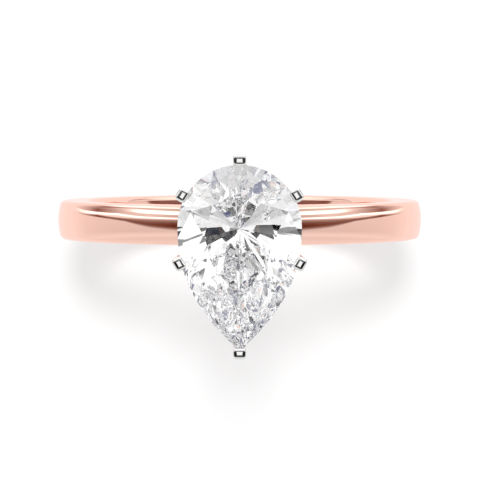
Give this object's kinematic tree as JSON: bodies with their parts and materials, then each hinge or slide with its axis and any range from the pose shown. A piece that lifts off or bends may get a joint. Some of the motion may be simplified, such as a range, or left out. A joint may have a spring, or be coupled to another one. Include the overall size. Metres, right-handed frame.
{
  "type": "engagement ring",
  "caption": "Solitaire ring with a plain rose gold band and a white gold claw head that holds a pear brilliant diamond.",
  "frame": {"origin": "centre of the finger hole, at the middle of the band's width", "axes": "+Z from the finger hole up through the stone, +Y along the finger towards the stone's round end, so the stone's point is towards -Y, and X across the band"},
  "size_m": [0.0208, 0.0111, 0.0269],
  "materials": {
    "rose_gold": "polished",
    "white_gold": "polished",
    "diamond": "polished"
  },
  "bodies": {
    "root": {"shank": "rose_gold", "head_peg": "white_gold", "head_base": "white_gold", "lower_gallery_rail": "white_gold", "upper_gallery_rail": "white_gold", "claw_round_end": "white_gold", "claw_upper_left": "white_gold", "claw_upper_right": "white_gold", "claw_lower_left": "white_gold", "claw_lower_right": "white_gold", "claw_point": "white_gold", "pear_diamond": "diamond"}
  },
  "joints": []
}
